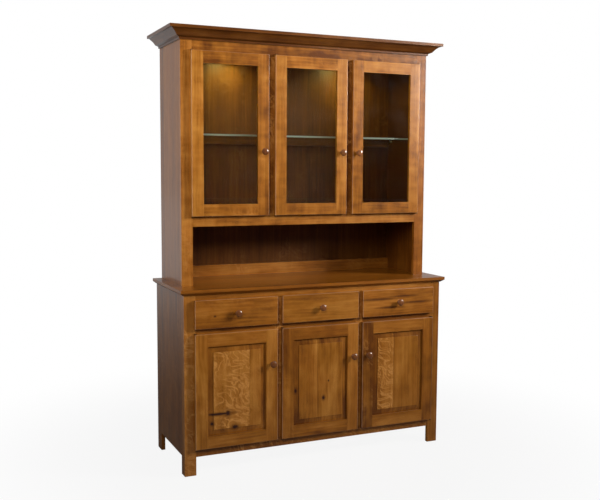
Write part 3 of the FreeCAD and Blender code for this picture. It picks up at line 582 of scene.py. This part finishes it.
def oak(name, dark, middle, light, roughness=0.33, coat=0.6, gloss=0.27, rim=0.0):
    """A stained and varnished timber from its darkest, middle and lightest colour; rim is how strong the worn stain
    and painted highlight on round rims are.
    """
    material, tree, shader = new_tree(name)
    t = timber(tree)
    begin = t["shift"] + t["luck_shift"] * 7  # every strip starts at another place in the patterns
    x, y, z = t["along"] + begin, t["across"] + begin * 0.37, t["through"]
    p = {pattern: noise(place(tree, x * along, y * across, z * across), 1, detail, rough)
         for pattern, (along, across, detail, rough) in PATTERNS.items()}
    mottle = noise(place(tree, x * 7, y * 12, z * 12 + 5), 1, 3, 0.6)
    figure = Flow.node(tree, "Attribute", {"attribute_name": "figure"}, out="Vector")
    fleck_left = Flow.node(tree, "SeparateXYZ", (), {0: figure})
    side = fade(t["strip"], -0.9, -0.1)  # 0 left of a glue joint, 1 right of it
    fleck_share = fleck_left + (fleck_left.other("Y") - fleck_left) * side
    wave_share, curl_share = fleck_left.other("Z"), figure.other("Alpha")
    swell = Flow.node(tree, "Math", {"operation": "SINE"}, {0: (y + p["wander"] * 0.11) * 330})
    rays = noise(place(tree, (x + y * 0.6) * 34 + p["drift"] * 4, y * 22 + p["drift"] * 3, z * 22), 1, 1, 0.5, 0.7)
    patches = fade(p["patches"] + fleck_share * 0.25, 0.58, 0.80)
    flecks = fade(abs(rays - 0.5), 0.018, 0.070, 1, 0) * patches * fleck_share * (1 - t["slope"])
    pores = fade(p["pores"], 0.60, 0.72)
    facing = Flow.node(tree, "SeparateXYZ", (), {0: Flow.node(tree, "TexCoord", out="Normal")})
    # round rims, where the worn stain and the painted highlight go: upright rims fully, level ones at about a third
    upright_rims = fade(abs(facing * facing.other("Y")), RIM_MASK_FROM, RIM_MASK_TO)
    level_rims = fade(abs(facing.other("Z") * facing.other("Y")), RIM_MASK_FROM, RIM_MASK_TO, 0, 0.35)
    rubbed_and_highlight = (upright_rims | level_rims) * rim
    # painted shade takes some of the stain number off, on slopes and inside the hutch
    stain = (0.5 + (t["tone"] - 0.5) * SHARE["tone"] + (t["luck"] - 0.5) * SHARE["luck"]
             + ((p["broad"] - 0.5) + (p["cloud"] - 0.5)) * SHARE["clouds"] * t["calm"]
             + (p["bands"] - 0.5) * SHARE["bands"] + (p["lines"] - 0.5) * SHARE["lines"]
             + (p["curl"] - 0.5) * curl_share * SHARE["curl"]
             + swell * wave_share * SHARE["wave"] - t["slope"] * SHARE["slope"])
    wood = Flow.node(tree, "ValToRGB", {"stops": ((0.12, dark), (0.5, middle), (0.88, light))}, {0: stain})
    # painted shade: slopes of panels and crown, the crown's foot and the inside of the hutch are darkened further
    wood = tint(t["slope"] - 1.0, wood, DEEP_PAINTED_SHADE, "MULTIPLY")
    red = (t["warm"] + (t["luck_warm"] - 0.5) * 0.3 + (mottle - 0.5) * 1.6) * 0.55
    wood = tint(red, wood, RED_STAIN, "MULTIPLY")
    wood = tint(flecks * 0.9, wood, scaled(light, 1.25, 0.03))
    wood = tint(pores * 0.35 | t["seam"] * 0.6, wood, scaled(dark, 0.4))
    wood = tint(t["halo"] * 0.6, wood, scaled(dark, 0.9))
    wood = tint(t["knots"] * 0.92, wood, KNOT_BROWN)
    # painted highlight on round rims, where the stain is also worn thin
    wood = tint(rubbed_and_highlight, wood, RUBBED_AND_HIGHLIT_OAK)
    height = p["lines"] * 0.5 + flecks * 0.25 - pores * 0.8
    bump = Flow.node(tree, "Bump", (), {"Strength": 0.22, "Distance": 0.0005, "Height": height}, out="Normal")
    feed(shader, Base_Color=wood, Roughness=roughness + pores * 0.12 - flecks * 0.07 + (p["broad"] - 0.5) * 0.12,
         Specular_IOR_Level=gloss, Coat_Weight=rubbed_and_highlight | coat, Coat_Roughness=0.12, Normal=bump)
    return material


STAINS = {  # the darkest, middle and lightest colour of each timber
    "front_oak": ((0.110, 0.032, 0.003), (0.285, 0.104, 0.010), (0.450, 0.195, 0.034)),
    "case_oak": ((0.100, 0.029, 0.003), (0.265, 0.095, 0.010), (0.420, 0.180, 0.032)),
    "counter_oak": ((0.110, 0.033, 0.002), (0.260, 0.088, 0.006), (0.400, 0.165, 0.022)),
    "crown_oak": ((0.045, 0.012, 0.001), (0.112, 0.036, 0.004), (0.205, 0.078, 0.014)),
    "knob_oak": ((0.080, 0.026, 0.008), (0.180, 0.066, 0.021), (0.280, 0.115, 0.042)),
    # the back's veneer is darker than the case: partly its own colour, partly painted shade inside the hutch and the
    # niche
    "back_veneer": ((0.042, 0.013, 0.002), (0.105, 0.037, 0.004), (0.188, 0.076, 0.012)),
    "dull_oak": ((0.090, 0.028, 0.004), (0.230, 0.088, 0.014), (0.360, 0.160, 0.032)),
    "plain_maple": ((0.400, 0.245, 0.110), (0.540, 0.365, 0.190), (0.640, 0.460, 0.270)),
}
VARNISHES = {  # where the varnish isn't the usual one
    # rim: how strong the worn stain and painted highlight on round rims are
    "front_oak": dict(rim=0.6),
    "counter_oak": dict(roughness=0.38),
    "knob_oak": dict(roughness=0.28, coat=1.0),
    "back_veneer": dict(roughness=0.36, coat=0.0, gloss=0.28),
    "dull_oak": dict(roughness=0.7, coat=0.0, gloss=0.1),
    "plain_maple": dict(roughness=0.45, coat=0.15),
}
FINISHES = {name: oak(name, *colours, **VARNISHES.get(name, {})) for name, colours in STAINS.items()}
print("finishes:", ", ".join(FINISHES))

# %% [markdown]
# ## Dress the woodwork
# Each wooden node is replaced by its dressed copy. A Bevel modifier rounds the rims of doors and drawer fronts by
# six millimetres, which is what catches the light on real furniture, and all other edges by about one or less.

# %% Dress every wooden node
def settle(piece, node):
    """Puts a dressed piece in the place of a node: on its body."""
    bpy.context.scene.collection.objects.link(piece)
    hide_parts(node)
    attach(piece, body_of[node])
    return piece


def dress(node, finish):
    mesh = board_mesh(node + "_dressed", node, rim=node.endswith(("_door_frame", "_drawer_front")))
    store_timber(mesh, node)
    mesh.materials.append(finish)
    piece = bpy.data.objects.new(node + "_dressed", mesh)
    bevel = piece.modifiers.new("eased edges", "BEVEL")
    bevel.width, bevel.segments = ROUNDING, 3
    bevel.limit_method, bevel.use_clamp_overlap, bevel.harden_normals = "WEIGHT", False, True
    settle(piece, node)


wooden = [node for node, slot in slot_of.items() if slot in FINISHES and not node.endswith("_knob")]
for node in wooden:
    dress(node, FINISHES["dull_oak" if node == "hutch_top" else slot_of[node]])
print(len(wooden), "wooden nodes dressed")

# %% [markdown]
# ## Turned knobs
# A knob is turned on a lathe, so its outline is spun round its axis: a small foot, a waist and a mushroom head. The
# grain runs across the axis.

# %% Turn the knobs
# The outline's points, as the distance from the axis and from the foot.
OUTLINE = ((0.0096, 0.0), (0.0100, 0.0012), (0.0093, 0.0026), (0.0074, 0.0044), (0.0064, 0.0078), (0.0070, 0.0108),
           (0.0100, 0.0132), (0.0145, 0.0155), (0.0168, 0.0180), (0.0170, 0.0202), (0.0158, 0.0232), (0.0128, 0.0257),
           (0.0085, 0.0272), (0.0040, 0.0279), (0.0, 0.0280))
SPIN_STEPS, SAME_POINT = 32, 1e-6


def turn_knob(node):
    """Spins the outline round a knob's axis and puts the turned knob in its place."""
    low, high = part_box(node)
    middle_x, middle_z = (low.x + high.x) / 2, (low.z + high.z) / 2
    face = low.y + OUTLINE[-1][1]
    shape = bmesh.new()
    number = shape.verts.layers.int.new("board")
    line = [shape.verts.new((middle_x + radius, face - out, middle_z)) for radius, out in OUTLINE]
    edges = [shape.edges.new(pair) for pair in zip(line, line[1:])]
    bmesh.ops.spin(shape, geom=line + edges, cent=(middle_x, face, middle_z), axis=(0, -1, 0),
                   angle=math.tau, steps=SPIN_STEPS, use_merge=True)
    bmesh.ops.remove_doubles(shape, verts=shape.verts, dist=SAME_POINT)
    bmesh.ops.recalc_face_normals(shape, faces=shape.faces)
    mesh = bpy.data.meshes.new(node + "_turned")
    shape.to_mesh(mesh)
    shape.free()
    mesh.shade_smooth()
    store_timber(mesh, node)
    mesh.materials.append(FINISHES["knob_oak"])
    piece = bpy.data.objects.new(node + "_turned", mesh)
    piece.modifiers.new("smooth turning", "SUBSURF").render_levels = 1
    return settle(piece, node)


knobs = [turn_knob(node) for node in slot_of if node.endswith("_knob")]
print(len(knobs), "knobs turned")

# %% [markdown]
# ## Glass
# A pane is a real slab of glass. Light that falls through it would need caustics, which are slow and noisy, so for
# shadow rays the slab only dims the light. The shelf is thicker, and its polished edge shows the green of the glass.

# %% Glaze the doors and the shelf
PANE_SHADE = (0.41, 0.42, 0.40, 1)  # what shadow rays keep at each face of a pane


def glass(name, colour, roughness=0.0, clarity=1.0):
    material, tree, shader = new_tree(name)
    smears = noise(Flow.node(tree, "TexCoord", out="Object"), 9, 3)
    feed(shader, Base_Color=colour, Roughness=roughness, IOR=1.5, Transmission_Weight=clarity,
         Coat_Weight=fade(smears, 0.45, 0.7, 0, 0.12), Coat_Roughness=0.25)
    clear = Flow.node(tree, "BsdfTransparent", (), {0: PANE_SHADE})
    shade = Flow.node(tree, "LightPath", out="Is Shadow Ray")
    mixed = Flow.node(tree, "MixShader", (), {0: shade, 1: Flow(shader.outputs[0]), 2: clear})
    tree.links.new(mixed.socket, tree.nodes["Material Output"].inputs["Surface"])
    return material


clear_glass = glass("clear_glass", (0.985, 1.0, 0.992, 1))
green_edge = glass("glass_edge", (0.36, 0.46, 0.41, 1), roughness=0.3, clarity=0.35)


def glaze(node):
    mesh = board_mesh(node + "_polished", node)
    mesh.materials.append(clear_glass)
    mesh.materials.append(green_edge)
    low, high = span([vertex.co for vertex in mesh.vertices])
    thin = min(range(3), key=lambda axis: (high - low)[axis])
    for polygon in mesh.polygons:
        polygon.material_index = 0 if abs(polygon.normal[thin]) > 0.5 else 1
    piece = bpy.data.objects.new(node + "_polished", mesh)
    bevel = piece.modifiers.new("polished edges", "BEVEL")
    bevel.width, bevel.segments, bevel.limit_method, bevel.harden_normals = ROUNDING, 1, "WEIGHT", True
    return settle(piece, node)


panes = [glaze(node) for node, slot in slot_of.items() if slot == "clear_glass"]
print(len(panes), "pieces of glass")

# %% [markdown]
# ## Metal, plastic and lamps
# Hinges, pins, catches and lights are small, and their shapes in the solids are right. They keep their nodes and get
# brushed or painted metal or moulded plastic.

# %% Finish the fittings
SCRATCHES = (900, 900, 60)  # waves per metre along X, Y and Z


def brushed(name, colour, roughness, metal=1.0):
    material, tree, shader = new_tree(name)
    at = Flow.node(tree, "TexCoord", out="Object")
    spread = Flow.node(tree, "VectorMath", {"operation": "MULTIPLY"}, {0: at, 1: SCRATCHES})
    scratches = noise(spread, 1, 3)
    cloud = noise(at, 40, 3)
    worn = tint(cloud, scaled(colour, 0.75), scaled(colour, 1.15))
    bump = Flow.node(tree, "Bump", (), {"Strength": 0.15, "Distance": 0.0002, "Height": scratches}, out="Normal")
    feed(shader, Base_Color=worn, Roughness=roughness + scratches * 0.2, Metallic=metal, Normal=bump)
    return material


FITTINGS = {
    "brass": brushed("aged_brass", (0.17, 0.10, 0.045), roughness=0.45),
    "steel": brushed("steel", (0.42, 0.40, 0.38), roughness=0.35),
    "catch_plastic": brushed("catch_plastic", (0.12, 0.065, 0.035), roughness=0.5, metal=0.0),
    "light_metal": brushed("light_metal", (0.05, 0.045, 0.04), roughness=0.4, metal=0.0),
}


def coat_node(node, material):
    """Gives a node of the solids one material."""
    materials = frame["nodes"][node].data.materials
    materials.clear()
    materials.append(material)


for node, slot in slot_of.items():
    if slot in FITTINGS:
        coat_node(node, FITTINGS[slot])
print("fittings finished:", ", ".join(FITTINGS))

# %% [markdown]
# Two small lights under the hutch's top throw golden pools on its back. Their lenses glow, and three spot lamps under
# each carry the light, because a glowing surface of that size would need many samples: a wide glow, a beam towards
# the back, and a weak shine below them, whose mirror image in the satin back shows under the doors' top rails.

# %% Light the hutch
BULB_RADIUS = 0.02
BULBS = {  # angles in degrees, power in watts, drop below the lens in metres
    "glow": dict(colour=(1.0, 1.0, 0.28), cone=146, blend=0.5, power=7.5, tilt=0, drop=0.002),
    "beam": dict(colour=(1.0, 1.0, 0.28), cone=86, blend=1.0, power=5.5, tilt=27, drop=0.002),
    "shine": dict(colour=(1.0, 0.80, 0.22), cone=180, blend=0.0, power=0.5, tilt=0, drop=0.064),
}
lens_glass, tree, shader = new_tree("light_lens")
ripple = noise(Flow.node(tree, "TexCoord", out="Object"), 220, 2)
feed(shader, Base_Color=(0.95, 0.85, 0.6, 1), Roughness=0.4, Emission_Strength=4.0,
     Emission_Color=tint(ripple, (1.0, 0.62, 0.20, 1), (1.0, 0.75, 0.34, 1)))
coat_node("light_lenses", lens_glass)
low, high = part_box("light_lenses")
radius = (high.y - low.y) / 2
for x in (low.x + radius, high.x - radius):
    for name, row in BULBS.items():
        light = bpy.data.lights.new(name, "SPOT")
        light.spot_size, light.spot_blend = math.radians(row["cone"]), row["blend"]
        light.energy, light.color, light.shadow_soft_size = row["power"], row["colour"], BULB_RADIUS
        bulb = bpy.data.objects.new(name, light)
        bulb.location = (x, (low.y + high.y) / 2, low.z - row["drop"])
        bulb.rotation_euler.x = math.radians(row["tilt"])
        bpy.context.scene.collection.objects.link(bulb)
print("two lights glow at", round(low.z, 3))

# %% [markdown]
# ## Finish

# %% Set the view transform
bpy.context.scene.view_settings.view_transform = "Standard"
